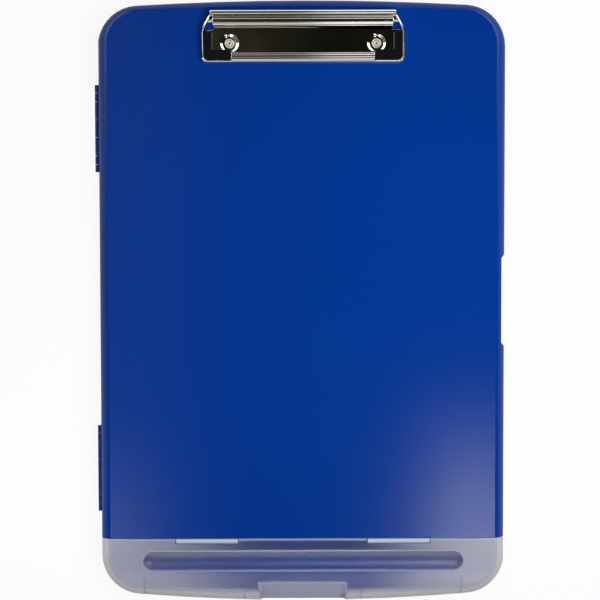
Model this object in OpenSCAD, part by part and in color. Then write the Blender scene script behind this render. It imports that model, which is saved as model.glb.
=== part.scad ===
// Storage clipboard box: a shallow tray for paper under a hinged writing lid, a pen bay
// under a hinged milky cover, and a sprung low-profile clip on the lid.
// It lies on its back: +Z is up out of the lid, +Y runs towards the clip, and the lid's
// hinges are at -X. The origin is the centre of the tray's underside.

/* [Box] */
// Width of the box over its side walls
box_w = 236; // [225:1:260]
// Length of the box from the clip end to the pen end
box_l = 350; // [335:1:380]
// Height of the tray
tray_h = 14; // [12:0.5:26]
// Height of the lid and of the pen cover above the tray
lid_h = 11; // [10:0.5:15]
// Thickness of the tray's and lid's walls
wall = 2; // [1.6:0.1:2.4]
// Thickness of the tray's floor
floor_t = 2; // [1.4:0.1:3]

/* [Outline] */
// Radius of the two corners at the clip end
clip_corner_r = 24; // [18:0.5:28]
// Radius of the two corners at the pen end
pen_corner_r = 24; // [18:0.5:30]
// Radius of the slight bow of the clip end
clip_bow_r = 1700; // [1300:50:4000]
// Radius of the bow of the pen end
pen_bow_r = 1160; // [800:20:3000]
// Width of the rounded edge along the sides of the lid
side_edge = 6.2; // [4.5:0.1:7]
// Width of the rounded edge at the clip end
clip_edge = 4.8; // [4:0.1:6.5]
// Width of the rounded edge at the pen end
pen_edge = 9; // [6:0.1:10]
// Radius of the tray's bottom edge
foot_r = 3.2; // [2:0.1:4]

/* [Seams] */
// Gap between the tray's rim and the lid or pen cover
rim_gap = 0.3; // [0.2:0.05:0.6]
// Gap between the lid and the pen cover
seam_gap = 0.35; // [0.3:0.05:0.5]
// Height of the tray's inner lip above its rim
lip_h = 3; // [2:0.1:3.2]
// Thickness of the tray's inner lip
lip_t = 1.2; // [1:0.1:1.6]
// Gap between the lip and the inside of the lid's wall at the rim
lip_gap = 0.9; // [0.8:0.05:1.4]

/* [Finger notch] */
// Length of the notch in the right side
notch_l = 54.5; // [40:0.5:70]
// Depth of the notch
notch_d = 2.7; // [1.4:0.1:3]
// Middle of the notch, measured along the box from its centre
notch_y = 1.5; // [-40:0.5:40]

/* [Lid hinges] */
// Length of each hinge
hinge_l = 50.6; // [42:0.2:60]
// Middle of the upper hinge, measured from the clip end
hinge_from_clip_end = 73.3; // [60:0.5:95]
// Middle of the lower hinge, measured from the pen end
hinge_from_pen_end = 78.4; // [70:0.5:100]
// Outer radius of the hinge barrels
hinge_r = 1.6; // [1.55:0.05:1.8]
// Distance of the hinge axis outside the side wall
hinge_out = 0.45; // [0.4:0.05:0.7]
// Radius of the hinge pins
hinge_pin_r = 0.9; // [0.7:0.05:0.95]
// Running gap around every hinge pin and pivot
run_gap = 0.05; // [0.03:0.01:0.08]
// Gap between neighbouring knuckles and around the barrels
knuckle_gap = 0.3; // [0.25:0.05:0.4]

/* [Pen bay] */
// Length of the pen bay and its cover along the box
bay_l = 38.6; // [35:0.2:48]
// Thickness of the pen cover
cover_t = 1.6; // [1.2:0.1:2]
// Thickness of the wall between the paper and the pens
divider_t = 2; // [1.6:0.1:2.2]
// Radius of the bead along the hinged edge of the pen cover
bead_r = 1.4; // [1.3:0.05:1.6]
// Length of each slot for a hinge block
block_slot_l = 36.7; // [28:0.5:44]
// Distance of each hinge block's middle from the centre line
block_x = 55.8; // [50:0.5:66]
// Radius of the pins of the pen cover
pen_pin_r = 0.6; // [0.5:0.05:0.7]
// Length of a pen cover pin inside the cover on each side of its block
pen_pin_grip = 5; // [3:0.5:7]
// Length of the pen groove
groove_l = 187; // [140:1:195]
// Width of the pen groove
groove_w = 11.7; // [9:0.1:13]
// Depth of the pen groove
groove_d = 3.6; // [2.5:0.1:3.8]
// Middle of the pen groove, measured from the lid's edge
groove_from_seam = 13.5; // [12.5:0.1:15]
// Width of the thumb scoop at the end of the pen cover
scoop_w = 49; // [30:1:60]
// Distance that the scoop's upper edge lies inside the flat top
scoop_in = 2.8; // [1:0.1:4]
// Thickness of the ribs under the pen cover
rib_t = 0.9; // [0.6:0.1:1.4]
// Distance of the two inner ribs from the centre line
rib_inner_x = 34; // [32:0.5:45]
// Distance of the two outer ribs from the centre line
rib_outer_x = 92.3; // [80:0.5:94]

/* [Clip] */
// Width of the clip over its side walls
clip_w = 115.8; // [108:0.2:125]
// Distance of the clip's middle from the box's centre line, towards the right
clip_x = 0.9; // [-3:0.1:3]
// Distance of the clip's pivot from the clip end of the box
pivot_from_end = 13.6; // [12.5:0.1:20]
// Distance of the jaw's tip from the pivot
jaw_reach = 24.1; // [23.5:0.1:27]
// Height of the pivot above the lid
pivot_rise = 4.8; // [4.7:0.05:5.2]
// Thickness of the lever's sheet
lever_t = 0.8; // [0.8:0.05:1.1]
// Thickness of the lever's side walls
side_wall_t = 1.3; // [1.1:0.05:1.5]
// Distance of the barrel's ends inside the sides of the clip
barrel_end_in = 6.4; // [6:0.1:8]
// Distance of the thumb lip's ends inside the sides of the clip
thumb_lip_end_in = 5.3; // [4.8:0.1:5.6]
// Radius of the rolled edge of the thumb lip
hem_r = 1.15; // [1:0.05:1.25]
// Radius of the pivot rod
rod_r = 1; // [1:0.05:1.2]
// Radius of the two rolled edges of the jaw bar
bar_bead_r = 0.8; // [0.6:0.05:0.9]
// Thickness of the base plate's sheet
plate_t = 0.8; // [0.6:0.05:1]
// Height of the base plate's top above the lid
plate_rise = 1.7; // [1.4:0.05:1.8]
// Distance of each rivet inside the side of the clip
rivet_from_side = 15.9; // [14:0.1:21]
// Distance of the rivets from the pivot
rivet_from_pivot = 12.35; // [12:0.05:13.5]
// Radius of the dimple around each rivet
dimple_r = 5.5; // [5:0.1:5.8]
// Radius of a rivet's head
rivet_head_r = 2.8; // [2.5:0.1:3.2]
// Radius of a rivet's shank
rivet_r = 2; // [1.6:0.1:2.1]
// Radius of the washers under the lid
washer_r = 5; // [4:0.1:6]
// Thickness of the washers
washer_t = 0.8; // [0.6:0.1:1.2]
// Length of each corner cap along the jaw
cap_l = 15.4; // [12:0.2:18]
// Length of each corner cap along the side wall
cap_side_l = 15.7; // [13:0.2:17]
// Width of the corner cap's arm along the side wall
cap_side_w = 4.5; // [3.5:0.1:5]
// Width of the corner cap's arm along the jaw
cap_arm_w = 5.7; // [5:0.1:6.2]

/* [Clip springs] */
// Radius of the spring's wire
wire_r = 0.35; // [0.35:0.05:0.45]
// Gap between the curls and the rod, and between the curls and the barrel
curl_gap = 0.25; // [0.2:0.05:0.4]
// Number of curls in each spring
curls = 6; // [3:1:8]
// Advance of each curl along the rod
curl_pitch = 1.4; // [1.35:0.05:1.8]
// Distance of each spring's middle from the centre line
spring_x = 33; // [20:0.5:38]
// Length of the spring's leg on the base plate
leg_l = 2.7; // [2.3:0.1:3]

/* [Hidden] */

$fn = 48;
corner_steps = 9;
bow_steps = 8;
shoulder_steps = 6;
foot_steps = 4;
sheet = 0.01;
far = 500;

lid_colour = [0.05, 0.2, 0.56];
tray_colour = [0.05, 0.18, 0.5];
milk_colour = [0.72, 0.74, 0.82, 0.6];
steel_colour = [0.7, 0.7, 0.72];
chrome_colour = [0.85, 0.85, 0.86];
cap_colour = [0.07, 0.08, 0.1];

half_w = box_w / 2;
clip_end_y = box_l / 2;
pen_end_y = -box_l / 2;
lid_z = tray_h + rim_gap;
top_z = tray_h + lid_h;
seam_y = pen_end_y + bay_l;

// Rounded edge of the lid: steepest and gentlest slope, and the drafted wall below it
steep = 85;
gentle = 20;
draft_rise = 0.27;
draft_share = 0.045;
foot_draft = 1;

// Outline at an inset from the sides, the clip end and the pen end, with tangent arcs
function arc_run(cx, cy, r, from, to, steps) =
    [for (i = [0:steps - 1]) let (a = from + (to - from) * i / steps) [cx + r * cos(a), cy + r * sin(a)]];

function outline(side, clip_in, pen_in) =
    let (
        w = half_w - side,
        r1 = clip_corner_r - (side + clip_in) / 2,
        r2 = pen_corner_r - (side + pen_in) / 2,
        b1 = clip_bow_r - clip_in,
        b2 = pen_bow_r - pen_in,
        y1 = clip_end_y - clip_in,
        y2 = pen_end_y + pen_in,
        a1 = asin((w - r1) / (b1 - r1)),
        a2 = asin((w - r2) / (b2 - r2)),
        c1 = y1 - b1 + (b1 - r1) * cos(a1),
        c2 = y2 + b2 - (b2 - r2) * cos(a2)
    )
    concat(
        arc_run(w - r2, c2, r2, a2 - 90, 0, corner_steps),
        arc_run(w - r1, c1, r1, 0, 90 - a1, corner_steps),
        arc_run(0, y1 - b1, b1, 90 - a1, 90 + a1, bow_steps),
        arc_run(r1 - w, c1, r1, 90 + a1, 180, corner_steps),
        arc_run(r2 - w, c2, r2, 180, 270 - a2, corner_steps),
        arc_run(0, y2 + b2, b2, 270 - a2, 270 + a2, bow_steps)
    );

// Levels of a form: each is [height, side inset, clip end inset, pen end inset]
function shoulder(z0, z1, inset) =
    let (zd = z0 + (z1 - z0) * draft_rise)
    concat(
        [[z0, inset, inset, inset]],
        [for (i = [0:shoulder_steps])
            let (
                a = steep + (gentle - steep) * i / shoulder_steps,
                k = draft_share + (1 - draft_share) * (sin(steep) - sin(a)) / (sin(steep) - sin(gentle)),
                z = zd + (z1 - sheet - zd) * (cos(a) - cos(steep)) / (cos(gentle) - cos(steep))
            )
            [z, inset + side_edge * k, inset + clip_edge * k, inset + pen_edge * k]]
    );

function foot(z0, z1, inset, r) =
    concat(
        [for (i = [0:foot_steps])
            let (a = 90 * i / foot_steps, d = inset + foot_draft + r * (1 - sin(a)))
            [z0 + r * (1 - cos(a)), d, d, d]],
        [[z1 - sheet, inset, inset, inset]]
    );

module form(levels) {
    hull() {
        for (level = levels) {
            translate([0, 0, level[0]])
                linear_extrude(sheet)
                    polygon(outline(level[1], level[2], level[3]));
        }
    }
}

// A bar along X through [y, z] from x0 to x1
module bar_x(x0, x1, y, z, r) {
    translate([x0, y, z])
        rotate([0, 90, 0])
            cylinder(h = x1 - x0, r = r);
}

// A section drawn in [y, z], run along X from x0 to x1
module section_x(x0, x1, points) {
    translate([x0, 0, 0])
        rotate([90, 0, 90])
            linear_extrude(x1 - x0)
                polygon(points);
}

module box_between(low, high) {
    translate(low)
        cube(high - low);
}

// Everything on the pen side of a line across the box
module pen_side_of(y) {
    box_between([-far, -far, -far], [far, y, far]);
}

module clip_side_of(y) {
    box_between([-far, y, -far], [far, far, far]);
}

// Finger notch: a shallow trapezoid cut into the right side, or its backing grown by a wall
module finger_notch(grow, z0, z1) {
    x0 = half_w - notch_d - grow;
    reach = notch_l / 2 + grow * tan(22.5);
    translate([0, notch_y, z0])
        linear_extrude(z1 - z0)
            polygon([
                [x0, notch_d - reach],
                [x0 + 2 * notch_d + grow, -reach - notch_d - grow],
                [x0 + 2 * notch_d + grow, reach + notch_d + grow],
                [x0, reach - notch_d]
            ]);
}

// Lid hinges: knuckles cut at shares of the length, the lid's at the even places
hinge_x = -half_w - hinge_out;
hinge_z = tray_h + rim_gap / 2;
hinge_ys = [clip_end_y - hinge_from_clip_end, pen_end_y + hinge_from_pen_end];
knuckle_cuts = [0, 0.09, 0.19, 0.4, 0.6, 0.81, 0.91, 1];
pin_in = 0.8;

module barrel_y(y0, y1, r) {
    translate([hinge_x, y0, hinge_z])
        rotate([-90, 0, 0])
            cylinder(h = y1 - y0, r = r);
}

module knuckles(first, gap, r) {
    for (y = hinge_ys) {
        for (i = [first:2:len(knuckle_cuts) - 2]) {
            barrel_y(
                y + (knuckle_cuts[i] - 0.5) * hinge_l + gap,
                y + (knuckle_cuts[i + 1] - 0.5) * hinge_l - gap,
                r
            );
        }
    }
}

module hinge_bores() {
    for (y = hinge_ys) {
        barrel_y(y - hinge_l / 2 - 1, y + hinge_l / 2 + 1, hinge_pin_r + run_gap);
    }
}

module hinge_pin(y) {
    color(steel_colour)
        barrel_y(y - hinge_l / 2 + pin_in, y + hinge_l / 2 - pin_in, hinge_pin_r);
}

// Lip inside the tray's rim, which the lid's and the pen cover's walls go round
lip_out = wall + lip_gap;
lip_in = lip_out + lip_t;
lip_pen_extra = 2.1;
ledge_t = 2.2;
ledge_in = 1;

module ring(out_side, out_pen, in_side, in_pen, z0, z1) {
    translate([0, 0, z0])
        linear_extrude(z1 - z0)
            difference() {
                polygon(outline(out_side, out_side, out_pen));
                polygon(outline(in_side, in_side, in_pen));
            }
}

// Pen cover hinge: its axis runs in a bead along the cover's upper edge
pen_axis_y = seam_y - seam_gap - bead_r;
pen_axis_z = top_z - bead_r;
divider_under_bead = 0.6;
divider_top = pen_axis_z - bead_r - divider_under_bead;
divider_in = 1.6;
divider_end_gap = 1.4;
divider_top_in = side_edge + divider_end_gap;
block_gap = 0.3;
block_l = block_slot_l - 2 * block_gap;
block_web_t = 1.6;
block_press = 0.02;
cheek_t = 1;
cheek_h = 4;
block_cap_t = 0.8;

// Thumb scoop: a slope that starts inside the flat top of the cover and ends near the rim,
// where a flat on the tray's wall carries it on
scoop_rim_in = 0.75;
scoop_top = [pen_end_y + pen_edge + scoop_in, top_z];
scoop_foot = [pen_end_y + scoop_rim_in, lid_z];
scoop_back = 1.5 * cover_t;
scoop_side_gap = 1;

module scoop(back, half) {
    section_x(-half, half, [
        scoop_top + [back, 0],
        scoop_foot + [back, 0],
        [scoop_foot[0] + back, lid_z - lid_h],
        [pen_end_y - lid_h, lid_z - lid_h],
        [pen_end_y - lid_h, top_z + lid_h],
        [scoop_top[0] + back, top_z + lid_h]
    ]);
}

module divider() {
    half = divider_t / 2;
    z_lip = tray_h + lip_h;
    for (step = [
        [divider_in, floor_t / 2, tray_h],
        [(lip_out + lip_in) / 2, floor_t / 2, z_lip],
        [divider_top_in, floor_t / 2, divider_top]
    ]) {
        box_between(
            [step[0] - half_w, pen_axis_y - half, step[1]],
            [half_w - step[0], pen_axis_y + half, step[2]]
        );
    }
}

module tray_shell() {
    z_lip = tray_h + lip_h;
    lip_out_pen = lip_out + lip_pen_extra;
    lip_in_pen = lip_in + lip_pen_extra;
    color(tray_colour)
        difference() {
            union() {
                difference() {
                    form(foot(0, tray_h, 0, foot_r));
                    difference() {
                        form(foot(floor_t, tray_h + rim_gap, wall, foot_r));
                        finger_notch(wall, 0, tray_h);
                    }
                }
                ring(ledge_in, ledge_in, lip_in, lip_in_pen, tray_h - ledge_t, tray_h);
                difference() {
                    ring(lip_out, lip_out_pen, lip_in, lip_in_pen, tray_h - ledge_t, z_lip);
                    finger_notch(wall + lip_gap, tray_h, top_z);
                    box_between(
                        [-scoop_w / 2 - cover_t - scoop_side_gap, pen_end_y, tray_h],
                        [scoop_w / 2 + cover_t + scoop_side_gap, seam_y - bay_l / 2, top_z]
                    );
                }
                divider();
                knuckles(1, knuckle_gap / 2, hinge_r);
            }
            finger_notch(0, -1, top_z);
            knuckles(0, -knuckle_gap / 2, hinge_r + knuckle_gap);
            hinge_bores();
            box_between(
                [-scoop_w / 2, pen_end_y - scoop_rim_in, foot_r],
                [scoop_w / 2, scoop_foot[0], lid_z]
            );
        }
}

module pen_hinge_block(x) {
    color(milk_colour)
        difference() {
            union() {
                bar_x(x - block_l / 2, x + block_l / 2, pen_axis_y, pen_axis_z, bead_r);
                box_between(
                    [x - block_l / 2, pen_axis_y - block_web_t / 2, divider_top],
                    [x + block_l / 2, pen_axis_y + block_web_t / 2, pen_axis_z]
                );
                box_between(
                    [x - block_l / 2, pen_axis_y - divider_t / 2 - cheek_t, divider_top - cheek_h],
                    [x + block_l / 2, pen_axis_y - divider_t / 2, divider_top + block_cap_t]
                );
                box_between(
                    [x - block_l / 2, pen_axis_y - divider_t / 2 - cheek_t, divider_top],
                    [x + block_l / 2, pen_axis_y + block_web_t / 2, divider_top + block_cap_t]
                );
            }
            bar_x(x - block_l, x + block_l, pen_axis_y, pen_axis_z, pen_pin_r + block_press);
        }
}

module pen_hinge_pin(x) {
    half = block_slot_l / 2 + pen_pin_grip;
    color(steel_colour)
        bar_x(x - half, x + half, pen_axis_y, pen_axis_z, pen_pin_r);
}

// Lid over the paper, with a flange down its lower edge
flange_h = 6;
clip_half = clip_w / 2;
clip_y = clip_end_y - pivot_from_end;
clip_z = top_z + pivot_rise;
rivet_x = clip_half - rivet_from_side;
rivet_y = clip_y - rivet_from_pivot;
rivet_gap = 0.05;

module on_clip() {
    translate([clip_x, 0, 0])
        children();
}

module at_rivets() {
    for (x = [-rivet_x, rivet_x]) {
        translate([x, rivet_y, 0])
            children();
    }
}

module lid_shell() {
    color(lid_colour)
        difference() {
            union() {
                difference() {
                    form(shoulder(lid_z, top_z, 0));
                    difference() {
                        form(shoulder(lid_z - wall, top_z - wall, wall));
                        finger_notch(wall, 0, top_z);
                        box_between(
                            [-half_w, seam_y - wall, top_z - flange_h],
                            [half_w, seam_y + wall, top_z]
                        );
                    }
                    pen_side_of(seam_y);
                }
                knuckles(0, knuckle_gap / 2, hinge_r);
            }
            finger_notch(0, 0, top_z);
            knuckles(1, -knuckle_gap / 2, hinge_r + knuckle_gap);
            hinge_bores();
            on_clip()
                at_rivets()
                    translate([0, 0, lid_z])
                        cylinder(h = lid_h + wall, r = rivet_r + rivet_gap);
        }
}

// Pen cover: a shell with a trough for a pen, ribs, a thumb scoop and two hinge slots
groove_r = (groove_w * groove_w / 4 + groove_d * groove_d) / (2 * groove_d);
groove_z = top_z - groove_d + groove_r;
rib_run = 15.2;
rib_foot_run = 4;
rib_over_lip = 1.5;
rib_tip = 0.4;
bore_end = 0.6;

module groove(r) {
    x = (groove_l - groove_w) / 2;
    y = seam_y - groove_from_seam;
    bar_x(-x, x, y, groove_z, r);
    for (end = [-x, x]) {
        translate([end, y, groove_z])
            sphere(r = r);
    }
}

module cover_ribs() {
    z_low = tray_h + lip_h + rib_over_lip;
    for (x = [-rib_outer_x, -rib_inner_x, rib_inner_x, rib_outer_x]) {
        section_x(x - rib_t / 2, x + rib_t / 2, [
            [pen_end_y + rib_run, top_z],
            [pen_end_y, top_z],
            [pen_end_y, z_low],
            [pen_end_y + rib_foot_run, z_low],
            [pen_end_y + rib_run, top_z - cover_t - rib_tip]
        ]);
    }
}

module pen_lid() {
    slot_in = bead_r + block_gap;
    pin_run = block_slot_l / 2 + pen_pin_grip + bore_end;
    color(milk_colour)
        difference() {
            form(shoulder(lid_z, top_z, 0));
            difference() {
                form(shoulder(lid_z - cover_t, top_z - cover_t, cover_t));
                bar_x(-half_w, half_w, pen_axis_y, pen_axis_z, bead_r);
                groove(groove_r + cover_t);
                cover_ribs();
                scoop(scoop_back, scoop_w / 2 + cover_t);
            }
            clip_side_of(pen_axis_y + bead_r);
            difference() {
                box_between([-far, pen_axis_y, pen_axis_z], [far, far, far]);
                bar_x(-far, far, pen_axis_y, pen_axis_z, bead_r);
            }
            groove(groove_r);
            scoop(0, scoop_w / 2);
            for (x = [-block_x, block_x]) {
                box_between(
                    [x - block_slot_l / 2, pen_axis_y - slot_in, lid_z],
                    [x + block_slot_l / 2, seam_y, top_z + 1]
                );
                bar_x(x - pin_run, x + pin_run, pen_axis_y, pen_axis_z, pen_pin_r + run_gap);
            }
        }
}

// Clip. Its side walls run straight from the jaw, then draw in to the thumb lip
curl_r = rod_r + curl_gap + wire_r;
barrel_r = curl_r + wire_r + curl_gap + lever_t;
jaw_y = clip_y - jaw_reach;
jaw_gap = 0.4;
jaw_corner_r = 3.5;
jaw_corner_steps = 6;
thumb_lip_half = clip_half - thumb_lip_end_in;
barrel_half = clip_half - barrel_end_in;
wall_bend_run = 6.2;
wall_bend_y = clip_y - wall_bend_run;
wall_turn_run = 2.6;
wall_turn_y = clip_y - wall_turn_run;
wall_turn_in = 1.5;
hem_run = 4.05;
hem_y = clip_y + hem_run;
hem_rise = 5.7;
hem_z = clip_z + hem_rise;
bar_rise = 5.4;
bar_top = top_z + bar_rise;
front_r = 8;
front_low_turn = 172;
front_high_turn = 131;
front_steps = 8;
side_top_run = 3;
side_top = [clip_y - side_top_run, clip_z + side_top_run];
side_tail_run = 3.2;
side_tail_drop = 3;
side_tail = [clip_y + side_tail_run, clip_z - side_tail_drop];
side_lip_run = 2.7;
side_lip_rise = 4;
side_lip = [clip_y + side_lip_run, clip_z + side_lip_rise];
front_t = 1;
front_mid = [jaw_y - front_r * cos(front_low_turn), top_z + jaw_gap - front_r * sin(front_low_turn)];
ridge_run = front_mid[0] + front_r * cos(front_high_turn) - jaw_y;
ridge_from_jaw = 2.9;
ridge_y = jaw_y + ridge_from_jaw;
bar_hem_from_jaw = 5.4;
bar_hem_y = jaw_y + bar_hem_from_jaw;
bar_web_t = 0.9;
barrel_low = 0.6;
tab_foot_run = 2.1;
tab_foot_rise = 1.6;
tab_foot = [clip_y + tab_foot_run, clip_z + tab_foot_rise];
tab_t = 1;
cut_over = 1;

// Plan of the lever at an inset, closed by a straight line at the thumb lip
function lever_plan(inset) =
    let (
        right = concat(
            arc_run(clip_half - jaw_corner_r, jaw_y + jaw_corner_r, jaw_corner_r - inset,
                -90, 0, jaw_corner_steps),
            [
                [clip_half - inset, jaw_y + jaw_corner_r],
                [clip_half - inset, wall_bend_y],
                [clip_half - wall_turn_in - inset, wall_turn_y],
                [thumb_lip_half - inset, hem_y]
            ]
        )
    )
    concat(right, [for (i = [len(right) - 1:-1:0]) [-right[i][0], right[i][1]]]);

// The jaw's rounded front in section, at an inset, from its top down
function front_run(inset) =
    arc_run(front_mid[0], front_mid[1], front_r - inset, front_high_turn,
        front_low_turn + (front_low_turn - front_high_turn) / (front_steps - 1), front_steps);

module lever_walls() {
    difference() {
        intersection() {
            translate([0, 0, top_z])
                linear_extrude(lid_h + pivot_rise)
                    polygon(lever_plan(0));
            section_x(-clip_half, clip_half, [
                [jaw_y, top_z + jaw_gap],
                [clip_y + jaw_gap, top_z + jaw_gap],
                side_tail,
                [hem_y + hem_r, clip_z],
                [hem_y + hem_r, hem_z],
                [hem_y, hem_z],
                side_lip,
                side_top,
                each front_run(0)
            ]);
        }
        intersection() {
            translate([0, 0, top_z - cut_over])
                linear_extrude(lid_h + pivot_rise + 2 * cut_over)
                    polygon(lever_plan(side_wall_t));
            section_x(-clip_half, clip_half, [
                [jaw_y + front_t, top_z - cut_over],
                [clip_end_y, top_z - cut_over],
                [clip_end_y, top_z + 2 * lid_h],
                [jaw_y + ridge_run + front_t, top_z + 2 * lid_h],
                each front_run(front_t)
            ]);
        }
    }
}

// Corner caps: each is an L in plan, with a foot that grips the paper
cap_gap = 0.1;
cap_right = clip_half - side_wall_t - cap_gap;
cap_from_jaw = 2.3;
cap_low_y = jaw_y + cap_from_jaw;
cap_sink = 0.5;
cap_top = bar_top - cap_sink;
cap_corner_r = 1.6;
cap_over_plate = 0.1;
cap_z = top_z + plate_rise + cap_over_plate;
cap_seat = 0.05;
front_under_cap = 1.4;
foot_in = 1.4;
foot_w = 2.8;
foot_in_y = 0.15;

function cap_plan(grow) =
    concat(
        [[cap_right - cap_l - grow, cap_low_y - grow]],
        arc_run(cap_right - cap_corner_r, cap_low_y + cap_corner_r, cap_corner_r + grow,
            -90, 0, jaw_corner_steps),
        [
            [cap_right + grow, cap_low_y + cap_side_l + grow],
            [cap_right - cap_side_w - grow, cap_low_y + cap_side_l + grow],
            [cap_right - cap_side_w - grow, cap_low_y + cap_arm_w + grow],
            [cap_right - cap_l - grow, cap_low_y + cap_arm_w + grow]
        ]
    );

module cap_body(grow, z0, z1) {
    translate([0, 0, z0])
        linear_extrude(z1 - z0)
            polygon(cap_plan(grow));
}

module corner_cap() {
    cap_body(0, cap_z, cap_top);
    box_between(
        [cap_right - cap_l + foot_in, cap_low_y + foot_in_y, top_z + jaw_gap],
        [cap_right - foot_in, cap_low_y + foot_in_y + foot_w, cap_z + cap_over_plate]
    );
}

module clip_lever() {
    bar_half = cap_right - cap_l - cap_gap;
    color(chrome_colour)
        difference() {
            union() {
                lever_walls();
                bar_x(-bar_half, bar_half, ridge_y, bar_top - bar_bead_r, bar_bead_r);
                bar_x(-bar_half, bar_half, bar_hem_y, bar_top - bar_bead_r, bar_bead_r);
                box_between(
                    [-bar_half, ridge_y, bar_top - bar_bead_r - bar_web_t / 2],
                    [bar_half, bar_hem_y, bar_top - bar_bead_r + bar_web_t / 2]
                );
                difference() {
                    bar_x(-barrel_half, barrel_half, clip_y, clip_z, barrel_r);
                    bar_x(-clip_half, clip_half, clip_y, clip_z, barrel_r - lever_t);
                    box_between(
                        [-clip_half, clip_y - 2 * barrel_r, clip_z - 2 * barrel_r],
                        [clip_half, clip_y + 2 * barrel_r, clip_z - barrel_low]
                    );
                }
                section_x(-thumb_lip_half, thumb_lip_half, [
                    tab_foot,
                    [tab_foot[0] + tab_t, tab_foot[1] - tab_t / 2],
                    [hem_y + tab_t / 2, hem_z],
                    [hem_y - tab_t / 2, hem_z]
                ]);
                bar_x(-thumb_lip_half, thumb_lip_half, hem_y, hem_z, hem_r);
            }
            for (side = [0, 1]) {
                mirror([side, 0, 0]) {
                    cap_body(cap_seat, top_z, bar_top + cut_over);
                    box_between(
                        [cap_right - cap_l - cap_seat, jaw_y, bar_top - front_under_cap],
                        [cap_right - cap_corner_r, cap_low_y + cap_corner_r, bar_top + cut_over]
                    );
                }
            }
            bar_x(-clip_half, clip_half, clip_y, clip_z, rod_r + run_gap);
        }
}

module clip_pivot_rod() {
    share = (clip_y - wall_turn_y) / (hem_y - wall_turn_y);
    turn_x = clip_half - wall_turn_in;
    rod_half = turn_x + (thumb_lip_half - turn_x) * share;
    color(steel_colour)
        bar_x(-rod_half, rod_half, clip_y, clip_z, rod_r);
}

// Base plate: one sheet raised off the lid, with turned-down edges, dimples and two ears.
// It is narrower beside the rod, clear of the lever's swing
plate_in = 0.8;
plate_from_jaw = 5.7;
plate_front_y = jaw_y + plate_from_jaw;
plate_back_run = 2.1;
plate_back_y = clip_y + plate_back_run;
ear_t = 1;
ear_in = 0.6;
ear_side_gap = 0.35;
ear_half = 1.25;
ear_press = 0.02;
ear_x = barrel_half - ear_in;
neck_run = 4.6;
neck_over_ear = 0.1;
neck_half = ear_x + neck_over_ear;
dimple_floor_r = 3.75;

module plate_plan(inset) {
    intersection() {
        polygon(lever_plan(side_wall_t + plate_in + inset));
        union() {
            translate([-clip_half, plate_front_y + inset])
                square([clip_w, clip_y - neck_run - plate_front_y - 2 * inset]);
            translate([inset - neck_half, plate_front_y + inset])
                square([2 * (neck_half - inset), plate_back_y - plate_front_y - 2 * inset]);
        }
    }
}

module clip_base_plate() {
    z_top = top_z + plate_rise;
    ear_r = barrel_r - lever_t - ear_side_gap;
    color(chrome_colour)
        difference() {
            union() {
                difference() {
                    translate([0, 0, top_z])
                        linear_extrude(plate_rise)
                            plate_plan(0);
                    difference() {
                        translate([0, 0, top_z - cut_over])
                            linear_extrude(plate_rise - plate_t + cut_over)
                                plate_plan(plate_t);
                        at_rivets()
                            cylinder(h = z_top, r = dimple_r + plate_t / 2);
                    }
                }
                for (x = [-ear_x, ear_x - ear_t]) {
                    bar_x(x, x + ear_t, clip_y, clip_z, ear_r);
                    box_between(
                        [x, clip_y - ear_half, z_top - plate_t],
                        [x + ear_t, clip_y + ear_half, clip_z - barrel_low]
                    );
                }
            }
            at_rivets() {
                translate([0, 0, top_z + plate_t])
                    cylinder(h = plate_rise - plate_t, r1 = dimple_floor_r, r2 = dimple_r);
                cylinder(h = z_top, r = rivet_r + rivet_gap);
            }
            bar_x(-clip_half, clip_half, clip_y, clip_z, rod_r + ear_press);
        }
}

// Rivets: a ringed head in the dimple, a shank, and a tail closed over the washer
head_h = 1.2;
head_flat_r = 1;
head_ring_r = 2.2;
head_step = 0.2;
tail_h = 0.8;
tail_r = 2.9;
washer_bore = 0.05;

module rivet(x) {
    shank_l = plate_t + wall + washer_t;
    color(steel_colour)
        translate([x, rivet_y, top_z + plate_t])
            rotate_extrude()
                polygon([
                    [0, head_h],
                    [head_flat_r, head_h],
                    [head_flat_r + head_step, head_h - head_step],
                    [head_ring_r, head_h - head_step],
                    [rivet_head_r, head_h / 2],
                    [rivet_head_r, 0],
                    [rivet_r, 0],
                    [rivet_r, -shank_l],
                    [tail_r, -shank_l],
                    [tail_r - head_step, -shank_l - tail_h],
                    [0, -shank_l - tail_h]
                ]);
}

module rivet_washer(x) {
    color(steel_colour)
        translate([x, rivet_y, top_z - wall - washer_t])
            difference() {
                cylinder(h = washer_t, r = washer_r);
                translate([0, 0, -washer_t])
                    cylinder(h = 3 * washer_t, r = rivet_r + washer_bore);
            }
}

// Clip springs: a leg on the base plate, then curls round the rod, then a short hook
curl_rings = 8;
wire_sides = 6;
leg_rings = 4;
leg_lift = 0.05;
hook_l = 1.1;
hook_turn = 120;

function spring_path(x) =
    let (
        turn = 360 * curls + hook_turn,
        rings = curls * curl_rings + 3,
        x0 = x - curl_pitch * turn / 720,
        drop = pivot_rise - plate_rise - wire_r - leg_lift,
        end_angle = turn - 90,
        end_x = x0 + curl_pitch * turn / 360
    )
    concat(
        [for (i = [0:leg_rings - 1])
            let (k = i / leg_rings)
            [x0, -leg_l * (1 - k), -drop + (drop - curl_r) * k]],
        [for (i = [0:rings])
            let (a = turn * i / rings)
            [x0 + curl_pitch * a / 360, curl_r * cos(a - 90), curl_r * sin(a - 90)]],
        [[end_x, curl_r * cos(end_angle) - hook_l * sin(end_angle),
            curl_r * sin(end_angle) + hook_l * cos(end_angle)]]
    );

function unit(v) = v / norm(v);

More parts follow.
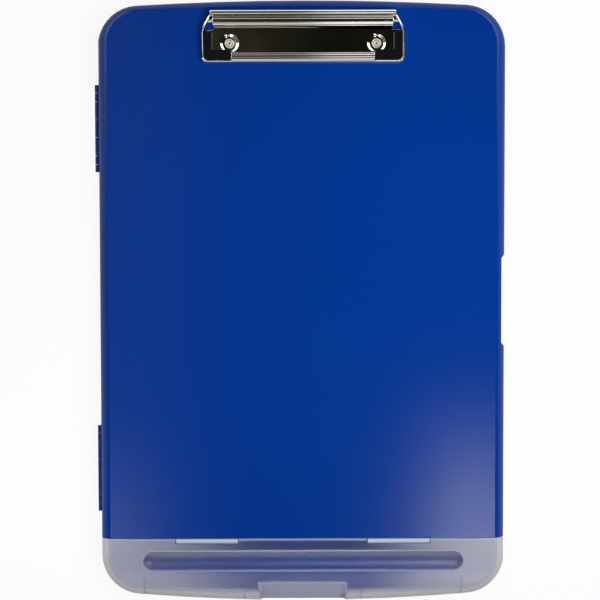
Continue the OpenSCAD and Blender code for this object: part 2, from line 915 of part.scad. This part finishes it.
// Rings of a tube swept along a path, each ring square to the path
function tube_rings(path, r, sides) =
    [for (i = [0:len(path) - 1])
        let (
            a = path[max(i - 1, 0)],
            b = path[min(i + 1, len(path) - 1)],
            t = unit(b - a),
            u = unit([1, 0, 0] - t * t[0]),
            v = cross(t, u)
        )
        for (k = [0:sides - 1]) path[i] + r * (u * cos(360 * k / sides) + v * sin(360 * k / sides))];

function tube_faces(rings, sides) =
    concat(
        [for (i = [0:rings - 2]) for (k = [0:sides - 1])
            let (n = (k + 1) % sides)
            each [
                [i * sides + k, (i + 1) * sides + k, i * sides + n],
                [i * sides + n, (i + 1) * sides + k, (i + 1) * sides + n]
            ]],
        [for (k = [1:sides - 2]) [0, k, k + 1]],
        [for (k = [1:sides - 2]) [(rings - 1) * sides, (rings - 1) * sides + k + 1, (rings - 1) * sides + k]]
    );

function least_gap(path, r, skip) =
    min([for (i = [0:len(path) - 1 - skip]) for (j = [i + skip:len(path) - 1]) norm(path[i] - path[j])]) - 2 * r;

module clip_spring(x) {
    path = spring_path(x);
    echo("least gap between the spring's curls", least_gap(path, wire_r, curl_rings - 1));
    color(steel_colour)
        translate([0, clip_y, clip_z])
            polyhedron(tube_rings(path, wire_r, wire_sides), tube_faces(len(path), wire_sides));
}

tray_shell();
hinge_pin(hinge_ys[0]);  // hinge_pin_upper
hinge_pin(hinge_ys[1]);  // hinge_pin_lower
pen_hinge_block(-block_x);  // pen_hinge_block_left
pen_hinge_block(block_x);  // pen_hinge_block_right
pen_hinge_pin(-block_x);  // pen_hinge_pin_left
pen_hinge_pin(block_x);  // pen_hinge_pin_right
lid_shell();
on_clip() clip_base_plate();
on_clip() clip_pivot_rod();
on_clip() clip_spring(-spring_x);  // clip_spring_left
on_clip() clip_spring(spring_x);  // clip_spring_right
on_clip() rivet(-rivet_x);  // rivet_left
on_clip() rivet(rivet_x);  // rivet_right
on_clip() rivet_washer(-rivet_x);  // rivet_washer_left
on_clip() rivet_washer(rivet_x);  // rivet_washer_right
on_clip() clip_lever();
on_clip() color(cap_colour) mirror([1, 0, 0]) corner_cap();  // corner_cap_left
on_clip() color(cap_colour) corner_cap();  // corner_cap_right
pen_lid();
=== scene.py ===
from math import cos, pi, radians, sin

import bpy
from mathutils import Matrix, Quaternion, Vector


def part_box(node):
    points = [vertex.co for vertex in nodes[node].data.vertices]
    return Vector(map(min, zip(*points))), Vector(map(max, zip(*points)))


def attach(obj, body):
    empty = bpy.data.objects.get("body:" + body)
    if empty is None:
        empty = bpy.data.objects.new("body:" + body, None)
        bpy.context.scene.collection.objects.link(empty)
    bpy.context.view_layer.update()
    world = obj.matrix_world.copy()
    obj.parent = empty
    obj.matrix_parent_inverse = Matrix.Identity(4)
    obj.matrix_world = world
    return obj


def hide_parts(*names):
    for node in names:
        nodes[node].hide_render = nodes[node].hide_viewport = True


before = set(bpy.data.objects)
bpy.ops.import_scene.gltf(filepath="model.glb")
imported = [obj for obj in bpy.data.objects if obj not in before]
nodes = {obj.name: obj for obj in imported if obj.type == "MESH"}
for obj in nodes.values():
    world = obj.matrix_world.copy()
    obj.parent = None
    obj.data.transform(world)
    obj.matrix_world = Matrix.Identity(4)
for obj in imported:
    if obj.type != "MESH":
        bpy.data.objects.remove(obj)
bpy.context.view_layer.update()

# Tray: the box's body, moulded in blue plastic with its divider, inner lip and hinge knuckles.
# Its outside has a fine spark-eroded grain, and the rounded top edge is duller than the flats.
tray_colour = (0.0015, 0.036, 0.275)
tone_scale = 9.0
grain_scale = 1300.0
grain_depth = 0.000016
top_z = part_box("lid_shell")[1][2]
shoulder_edge = (top_z - 0.00065, 0.00055)


class Link:
    """One output of a shader node. Arithmetic on it adds Math nodes."""

    def __init__(self, shading, socket):
        self.shading = shading
        self.socket = socket

    def maths(self, operation, *others):
        return self.shading.add("Math", {"operation": operation}, (self, *others))

    def __add__(self, other):
        return self.maths("ADD", other)

    __radd__ = __add__

    def __sub__(self, other):
        return self.maths("SUBTRACT", other)

    def __rsub__(self, other):
        return self.shading.add("Math", {"operation": "SUBTRACT"}, (other, self))

    def __mul__(self, other):
        return self.maths("MULTIPLY", other)

    __rmul__ = __mul__

    def __abs__(self):
        return self.maths("ABSOLUTE")

    def most(self, other):
        return self.maths("MAXIMUM", other)

    def out(self, name):
        """Another output of the same node."""
        return Link(self.shading, self.socket.node.outputs[name])

    def above(self, edge, fade):
        """A mask from 0 to 1, which rises softly from fade before the edge to fade past it."""
        return self.shading.add(
            "MapRange",
            {"interpolation_type": "SMOOTHSTEP"},
            {"Value": self, "From Min": edge - fade, "From Max": edge + fade},
        )

    def below(self, edge, fade):
        """The same mask the other way round: 1 before the edge and 0 past it."""
        return self.above(edge, -fade)


class Shading:
    """The nodes of a finish or of the room, and the ways in which they are added."""

    def __init__(self, tree, coordinate):
        self.tree = tree
        self.place = self.add("TexCoord").out(coordinate)

    def fill(self, node, sockets):
        """Sets or links sockets, given as pairs of a name or number and a value."""
        for key, value in sockets:
            if isinstance(key, int):
                socket = node.inputs[key]
            else:
                socket = next(s for s in node.inputs if s.enabled and s.name == key)
            if isinstance(value, Link):
                self.tree.links.new(value.socket, socket)
            else:
                socket.default_value = value

    def add(self, kind, settings=None, sockets=()):
        """Adds a node: its settings first, then the values or links of its sockets."""
        node = self.tree.nodes.new("ShaderNode" + kind)
        for key, value in (settings or {}).items():
            setattr(node, key, value)
        self.fill(node, sockets.items() if isinstance(sockets, dict) else enumerate(sockets))
        return Link(self, next(s for s in node.outputs if s.enabled))

    def noise(self, scale, detail=2.0):
        return self.add("TexNoise", None, {"Vector": self.place, "Scale": scale, "Detail": detail})

    def mix(self, share, first, second):
        """A colour from first to second, each a link or three numbers."""
        first, second = ((*c, 1) if isinstance(c, tuple) else c for c in (first, second))
        return self.add("Mix", {"data_type": "RGBA"}, {"Factor": share, "A": first, "B": second})

    def axes(self):
        xyz = self.add("SeparateXYZ", None, [self.place])
        return xyz.out("X"), xyz.out("Y"), xyz.out("Z")


class Finish(Shading):
    """A procedural material for one of the box's plastics, metals or rubbers."""

    def __init__(self, name):
        self.material = bpy.data.materials.new(name)
        self.material.use_nodes = True
        super().__init__(self.material.node_tree, "Object")
        self.shader = self.tree.nodes["Principled BSDF"]

    def bump(self, height, distance):
        return self.add("Bump", None, {"Height": height, "Distance": distance})

    def surface(self, **sockets):
        """Sets the shader's own sockets, named with _ for each space."""
        self.fill(self.shader, [(key.replace("_", " "), value) for key, value in sockets.items()])
        return self.material


def only(piece):
    """Makes a piece the one selected and active object."""
    bpy.ops.object.select_all(action="DESELECT")
    piece.select_set(True)
    bpy.context.view_layer.objects.active = piece


def apply_modifier(piece, kind, **settings):
    only(piece)
    modifier = piece.modifiers.new(kind.lower(), kind)
    for key, value in settings.items():
        setattr(modifier, key, value)
    bpy.ops.object.modifier_apply(modifier=modifier.name)


def from_solid(node, name, soften=0.0):
    """A new piece with a solid's form: loose triangles joined, edges softened, rounds smooth."""
    crease = radians(30)
    piece = bpy.data.objects.new(name, nodes[node].data.copy())
    bpy.context.scene.collection.objects.link(piece)
    only(piece)
    bpy.ops.object.mode_set(mode="EDIT")
    bpy.ops.mesh.select_all(action="SELECT")
    bpy.ops.mesh.remove_doubles(threshold=1e-6)
    bpy.ops.mesh.dissolve_limited(angle_limit=radians(0.1))
    bpy.ops.object.mode_set(mode="OBJECT")
    if soften:
        apply_modifier(
            piece,
            "BEVEL",
            width=soften,
            segments=2,
            angle_limit=crease,
            use_clamp_overlap=False,
        )
    bpy.ops.object.shade_smooth_by_angle(angle=crease)
    apply_modifier(piece, "WEIGHTED_NORMAL", keep_sharp=True, weight=100)
    return piece


def dress(piece, material, body, replaced):
    """Gives a piece its finish, its body and the solid that it stands for."""
    piece.data.materials.clear()
    piece.data.materials.append(material)
    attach(piece, body)
    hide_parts(replaced)


def tinted(colour, share):
    """A colour made darker or lighter."""
    return tuple(share * part for part in colour)


def blue_plastic(name, colour):
    """Glossy plastic with a fine grain, a slow shift in tone and dull rounded edges."""
    finish = Finish(name)
    grain = finish.noise(grain_scale, 3.0)
    shoulder = finish.axes()[2].below(*shoulder_edge)
    return finish.surface(
        Base_Color=finish.mix(finish.noise(tone_scale), tinted(colour, 0.94), tinted(colour, 1.05)),
        Roughness=0.09 + 0.03 * grain + 0.4 * shoulder,
        Specular_IOR_Level=0.3,
        Normal=finish.bump(grain, grain_depth),
    )


tray = from_solid("tray_shell", "tray_body")
dress(tray, blue_plastic("tray_blue", tray_colour), "tray", "tray_shell")

# Lid hinge pins: two steel wires, cut to the length of the knuckles at the left side and
# pushed through them, so that the lid turns on them.
wave_scale = 45.0
streak_scale = 700.0


def bright_metal(name, colour, roughness, wave):
    """Metal whose mirror image is bent by slow waves and dulled by fine streaks."""
    finish = Finish(name)
    waves = finish.noise(wave_scale)
    return finish.surface(
        Base_Color=finish.mix(waves, tinted(colour, 0.96), colour),
        Metallic=1.0,
        Roughness=roughness + 0.5 * roughness * finish.noise(streak_scale),
        Normal=finish.bump(waves, wave),
    )


def dress_solids(material, *solids):
    """Gives solids whose own form is right a finish in place of the plain one."""
    for solid in solids:
        nodes[solid].data.materials.clear()
        nodes[solid].data.materials.append(material)


steel = bright_metal("steel", colour=(0.78, 0.75, 0.7), roughness=0.2, wave=0.00001)
dress_solids(steel, "hinge_pin_upper", "hinge_pin_lower")

# Lid: the writing board over the paper, moulded in nearly the same blue as the tray.
# Its knuckles turn on the two hinge pins, and a notch at the right lets a finger in.
lid_colour = (0.001, 0.038, 0.288)
lid = from_solid("lid_shell", "writing_lid")
dress(lid, blue_plastic("lid_blue", lid_colour), "lid", "lid_shell")

# Clip base plate: pressed from bright chromed steel, with two ears for the rod
# and a raised ring round each rivet.
chrome = bright_metal("chrome", colour=(0.9, 0.88, 0.83), roughness=0.05, wave=0.00003)
plate = from_solid("clip_base_plate", "base_plate", soften=0.00015)
dress(plate, chrome, "lid", "clip_base_plate")

# Rivets: two satin heads that hold the base plate to the lid, pressed into rings round a small
# dot by the tool. The rings are painted darker in their pits and lighter on their crests, as
# painted shade and painted highlight, and the dot is drawn dark. Each is closed on a steel
# washer behind the lid.
left_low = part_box("rivet_left")[0]
right_low, right_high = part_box("rivet_right")
clip_x = (left_low[0] + right_high[0]) / 2
rivet_x = (right_low[0] + right_high[0]) / 2 - clip_x
rivet_y = (right_low[1] + right_high[1]) / 2
ring_pitch = 0.0011636
ring_depth = 0.0002
dot_edge = (0.00035, 0.0001)
painted_crest_edge = (0.0, 0.6)
pit_painted_shade = (0.5, 0.48, 0.44)
crest_painted_highlight = (0.94, 0.92, 0.86)
dot_colour = (0.12, 0.11, 0.1)
satin_scale = 900.0


def distance(finish, along, across):
    """How far a place on the flat top lies from another, by its steps along and across."""
    step = finish.add("CombineXYZ", None, [along, across, 0.0])
    return finish.add("VectorMath", {"operation": "LENGTH"}, [step])


def rivet_finish(name):
    finish = Finish(name)
    x, y = finish.axes()[:2]
    radius = distance(finish, abs(x - clip_x) - rivet_x, y - rivet_y)
    rings = (2 * pi / ring_pitch * radius).maths("COSINE")
    # Painted shade in the rings' pits and a painted highlight on their crests.
    ring_painted_light = finish.mix(rings.above(*painted_crest_edge), pit_painted_shade, crest_painted_highlight)
    return finish.surface(
        Base_Color=finish.mix(radius.below(*dot_edge), ring_painted_light, dot_colour),
        Metallic=0.5,
        Roughness=0.36 + 0.1 * finish.noise(satin_scale),
        Normal=finish.bump(rings, ring_depth),
    )


rivet_satin = rivet_finish("rivet_satin")
for side in ("left", "right"):
    rivet = from_solid("rivet_" + side, "rivet_head_" + side, soften=0.0001)
    dress(rivet, rivet_satin, "lid", "rivet_" + side)
dress_solids(steel, "rivet_washer_left", "rivet_washer_right")

# Clip rod and springs: a steel rod through both ears, and on it two wound springs of thin
# wire that press the lever's jaw on the lid.
dress_solids(steel, "clip_pivot_rod", "clip_spring_left", "clip_spring_right")

# Clip lever: folded from bright chromed sheet, with a hemmed thumb lip, a barrel over the
# rod, two side walls and the jaw bar. The sheet's edges are rolled smooth.
lever = from_solid("clip_lever", "lever", soften=0.00037)
dress(lever, chrome, "clip_lever", "clip_lever")

# Corner caps: black rubber angles pushed on the two ends of the jaw, so that it grips.
# The rubber is moulded and has a faint mottle and a fine skin.
rubber_dark = (0.0015, 0.002, 0.004)
rubber_light = (0.003, 0.004, 0.007)
mottle_scale = 300.0
dulling_scale = 1200.0
skin_scale = 1500.0
skin_depth = 0.00001
rubber = Finish("black_rubber")
black_rubber = rubber.surface(
    Base_Color=rubber.mix(rubber.noise(mottle_scale), rubber_dark, rubber_light),
    Roughness=0.3 + 0.1 * rubber.noise(dulling_scale),
    Specular_IOR_Level=0.15,
    Normal=rubber.bump(rubber.noise(skin_scale), skin_depth),
)
for side in ("left", "right"):
    cap = from_solid("corner_cap_" + side, "cap_" + side, soften=0.0004)
    dress(cap, black_rubber, "clip_lever", "corner_cap_" + side)

# Pen hinge blocks and pins: pale plastic bars let into the joint between lid and pen cover,
# each with a thin steel pin that the cover turns on.
pale_dark = (0.5, 0.56, 0.62)
pale_light = (0.58, 0.64, 0.69)
cloud_scale = 60.0
pale = Finish("pale_plastic")
pale_plastic = pale.surface(
    Base_Color=pale.mix(pale.noise(cloud_scale), pale_dark, pale_light),
    Roughness=0.35 + 0.1 * pale.noise(satin_scale),
)
for side in ("left", "right"):
    block = from_solid("pen_hinge_block_" + side, "hinge_bar_" + side, soften=0.0003)
    dress(block, pale_plastic, "tray", "pen_hinge_block_" + side)
grey_steel = bright_metal("grey_steel", colour=(0.2, 0.2, 0.21), roughness=0.3, wave=0.00001)
dress_solids(grey_steel, "pen_hinge_pin_left", "pen_hinge_pin_right")

# Pen cover: moulded in milky polypropylene, clearest in its middle. A white frost over it paints
# light in: painted sheen towards its ends and on the trough's upper wall, painted light through
# its rounded rim, front and thumb scoop, and painted highlights along the seam and the trough's
# edges. It has a trough for a pen on top and four ribs inside, and it turns on the two pen hinge
# pins.
cover_low, cover_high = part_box("pen_lid")
trough_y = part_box("lid_shell")[0][1] - 0.0135
trough_half = 0.0876
trough_r = 0.00585
trough_line = 0.00035
rib_inner_x = 0.034
rib_outer_x = 0.0923

# Where each kind of painted light, and each rib, starts or ends, with the width of its fade on
# either side.
seam_edge = (cover_high[1] - 0.0008, 0.00035)
apron_edge = (cover_low[1] + 0.0175, 0.00125)
rim_front = (cover_low[1] + 0.0162, 0.0015)
rim_side = (cover_high[0] - 0.0152, 0.0025)
rim_level = (0.895, 0.095)
scoop_front = (cover_low[1] + 0.0122, 0.003)
scoop_side = (0.024, 0.0035)
left_end = (-0.0675, 0.0475)
right_end = (0.07, 0.04)
trough_edge = (trough_r - 0.0002, 0.0004)
trough_wall = (trough_r / 2, trough_r / 2)
line_back = (0.001, 0.003)
rib_side = (0.0006, 0.0003)

# How much painted light the frost lays on in each place, and how much the ribs take off.
left_painted_sheen = 0.46
right_painted_sheen = 0.6
rim_painted_light = 0.87
seam_painted_highlight = 0.75
apron_painted_light = 0.08
scoop_painted_light = 0.55
trough_wall_painted_sheen = 0.3
trough_sheen_cut = 0.85
line_front_painted_highlight = 0.4
line_back_painted_highlight = 0.5
rib_clears = 0.4
glass_colour = (0.7, 0.76, 0.9)
# The frost's colours for the painted light, whiter on the rim.
painted_light_colour = (0.66, 0.67, 0.79)
rim_light_colour = (0.85, 0.83, 0.86)


def overlay(finish, share, second):
    """Lays a second shader over a finish's own, by share."""
    own = Link(finish, finish.shader.outputs[0])
    both = finish.add("MixShader", None, [share, own, second])
    finish.tree.links.new(both.socket, finish.tree.nodes["Material Output"].inputs["Surface"])


def milky_plastic(name):
    """Clear plastic under a white frost of painted sheen, light and highlights, as dense as each is
    in its place.
    """
    finish = Finish(name)
    x, y = finish.axes()[:2]
    across = abs(x)
    normal = finish.add("TexCoord").out("Normal")
    level = abs(finish.add("SeparateXYZ", None, [normal]).out("Z"))
    front = y.below(*rim_front)
    scoop = across.below(*scoop_side) * y.below(*scoop_front)
    outer = front.most(across.above(*rim_side))
    # Painted light where the rounded rim, the front band and the thumb scoop let light in from
    # outside.
    rim = rim_painted_light * level.below(*rim_level) * outer * (1 - scoop)

    up = y - trough_y
    radius = distance(finish, (across - trough_half).most(0.0), up)
    inside = radius.below(*trough_edge)
    # Painted highlights along both edges of the trough, brighter on its back edge.
    edge = radius.above(trough_r - trough_line, trough_line)
    edge = edge * radius.below(trough_r + trough_line, trough_line)
    line = edge * (line_front_painted_highlight + line_back_painted_highlight * up.above(*line_back))

    # Painted sheen: lighter towards both ends and on the trough's upper wall. Inside the trough the
    # ends' sheen is taken out again.
    ends = left_painted_sheen * x.below(*left_end) + right_painted_sheen * x.above(*right_end)
    trough = inside * (trough_wall_painted_sheen * up.above(*trough_wall) - trough_sheen_cut * ends)
    apron = apron_painted_light * y.below(*apron_edge)
    # A painted highlight along the seam with the lid.
    seam = seam_painted_highlight * y.above(*seam_edge)
    inner_ribs = abs(across - rib_inner_x).below(*rib_side)
    outer_ribs = abs(across - rib_outer_x).below(*rib_side)
    ribs = inner_ribs.most(outer_ribs) * front
    # All the painted light together, which sets how dense the frost is.
    painted_light = (ends + trough + apron).most(rim).most(line).most(scoop_painted_light * scoop).most(seam)
    painted_light = painted_light * (0.92 + 0.16 * finish.noise(cloud_scale)) * (1 - rib_clears * ribs)

    finish.surface(
        Base_Color=(*glass_colour, 1),
        Roughness=0.36 + 0.05 * finish.noise(satin_scale),
        Transmission_Weight=0.97,
        IOR=1.45,
        Alpha=0.42,
    )
    painted_light_tint = finish.mix(rim, painted_light_colour, rim_light_colour)
    painted_frost = {"Base Color": painted_light_tint, "Roughness": 0.4, "Transmission Weight": 0.2}
    overlay(finish, painted_light, finish.add("BsdfPrincipled", None, painted_frost))
    return finish.material


cover = from_solid("pen_lid", "pen_cover", soften=0.0003)
dress(cover, milky_plastic("milky_cover"), "pen_lid", "pen_lid")

# Camera: it looks down on the box from 0.86 m, tipped a little towards the pen end and turned
# by a sixth of a degree.
camera_far = 0.864
camera_tilt = radians(2.6)
camera_roll = radians(-0.174)
aim_x = -0.00125
aim_y = 0.00107
bpy.ops.object.camera_add(
    location=(aim_x, aim_y + camera_far * sin(camera_tilt), camera_far * cos(camera_tilt))
)
camera = bpy.context.object
camera.name = "camera"
camera.rotation_mode = "QUATERNION"
camera.rotation_quaternion = Quaternion((1, 0, 0), -camera_tilt) @ Quaternion((0, 0, 1), camera_roll)
camera.data.lens = 87.25
camera.data.sensor_width = 36
camera.data.clip_start = 0.01
bpy.context.scene.camera = camera
bpy.context.scene.view_settings.view_transform = "Standard"

# Table: a plain white board. To the camera, and in mirrors and clear plastic, most of its white
# is a glow of its own, so that it looks evenly white and keeps a soft share of the shadow.
table_white = 0.95
glow_share = 0.92
bpy.ops.mesh.primitive_plane_add(size=12, location=(0, 0, -0.0002))
table = bpy.context.object
table.name = "table"
white = Finish("table_white")
white.surface(Base_Color=(table_white, table_white, table_white, 1), Roughness=0.9)
ray = white.add("LightPath")
seen = ray.out("Is Camera Ray").most(ray.out("Is Transmission Ray")).most(ray.out("Is Glossy Ray"))
glow = white.add("Emission", None, {"Color": (1, 1, 1, 1), "Strength": 1.0})
overlay(white, glow_share * seen, glow)
table.data.materials.append(white.material)


# Lamps: a soft box over the lid's right half and a small lamp low by its lower left corner.
# No mirror shows them, because the room below holds what the chrome and the lid reflect.
def lamp(name, place, size, light):
    """A square lamp that faces the middle of the box and leaves no veil on the glossy lid."""
    bpy.ops.object.light_add(type="AREA", location=place)
    made = bpy.context.object
    made.name = name
    made.rotation_euler = (-Vector(place)).to_track_quat("-Z", "Y").to_euler()
    made.visible_glossy = False
    made.data.size = size
    made.data.energy = light
    made.data.cycles.use_multiple_importance_sampling = False


lamp("key", place=(0.13, 0.015, 0.45), size=0.25, light=1.84)
lamp("corner", place=(-0.2, -0.14, 0.1), size=0.05, light=0.045)

# Room: what mirrors and soft light find round the table, by direction: x to the right, y to the
# clip's end, z up. The camera sees it white. In mirrors it is dark, with white cards round the
# clip, a dim wall at the upper left, and two lamps whose sheen falls on the lid's pen end.
soft_light = 0.17
dark_light = 0.006
patch_light = 0.03
flank_light = 3.0
left_wall_light = 0.24
sheen_right_light = 11.5
sheen_left_light = 3.2
streak_light = 0.4
streak_dark = 0.1
card_streak_scale = 9.0
patch_scale = 18.0
warm_white = (1, 0.93, 0.62)
plain_white = (1, 1, 1)

# The edges of the cards, the wall and the sheens, with their fades.
strip_side = (0.13, 0.03)
high_card_top = (0.84, 0.06)
high_card_left = (0.01, 0.02)
low_card_top = (0.325, 0.075)
low_card_near = (0.4, 0.1)
flank_side = (0.32, 0.1)
flank_near = (0.1125, 0.0075)
flank_foot = (0.1, 0.05)
left_wall_side = (-0.085, 0.035)
left_wall_foot = (0.8, 0.1)
sheen_right_x = ((0.0975, 0.0175), (0.14, 0.02))
sheen_right_y = ((-0.375, 0.075), (-0.16, 0.06))
sheen_left_x = ((-0.24, 0.04), (-0.115, 0.03))
sheen_left_y = (-0.18, 0.06)
sheen_left_foot = (0.4, 0.1)
streak_edge = (0.535, 0.115)
patch_edge = (0.625, 0.175)
dim_edge = (0.225, 0.175)

world = bpy.data.worlds.new("studio")
bpy.context.scene.world = world
world.use_nodes = True
room = Shading(world.node_tree, "Generated")
ray = room.add("LightPath")
camera_share = ray.out("Is Camera Ray")
gloss_share = ray.out("Is Glossy Ray")
x, y, z = room.axes()
across = abs(x)

strip = across.below(*strip_side)
streaks = streak_dark + streak_light * room.noise(card_streak_scale).above(*streak_edge)
high_card = z.below(*high_card_top) * x.above(*high_card_left).most(streaks) * strip
low_cards = z.below(*low_card_top) * abs(y).above(*low_card_near) * strip
flanks = flank_light * across.above(*flank_side) * y.above(*flank_near) * z.above(*flank_foot)
left_wall = left_wall_light * x.below(*left_wall_side) * z.above(*left_wall_foot)
dark = dark_light + patch_light * room.noise(patch_scale).above(*patch_edge)

sheen_right = sheen_right_light * x.above(*sheen_right_x[0]) * x.below(*sheen_right_x[1])
sheen_right = sheen_right * y.above(*sheen_right_y[0]) * y.below(*sheen_right_y[1])
sheen_left = sheen_left_light * x.above(*sheen_left_x[0]) * x.below(*sheen_left_x[1])
sheen_left = sheen_left * y.below(*sheen_left_y) * z.above(*sheen_left_foot)

mirrored = (dark + left_wall + sheen_right + sheen_left).most(high_card).most(low_cards).most(flanks)
soft = soft_light * (1 - camera_share) * (1 - gloss_share)
dim = gloss_share * mirrored.below(*dim_edge)
room.fill(
    world.node_tree.nodes["Background"],
    [
        ("Color", room.mix(dim, plain_white, warm_white)),
        ("Strength", camera_share + gloss_share * mirrored + soft),
    ],
)
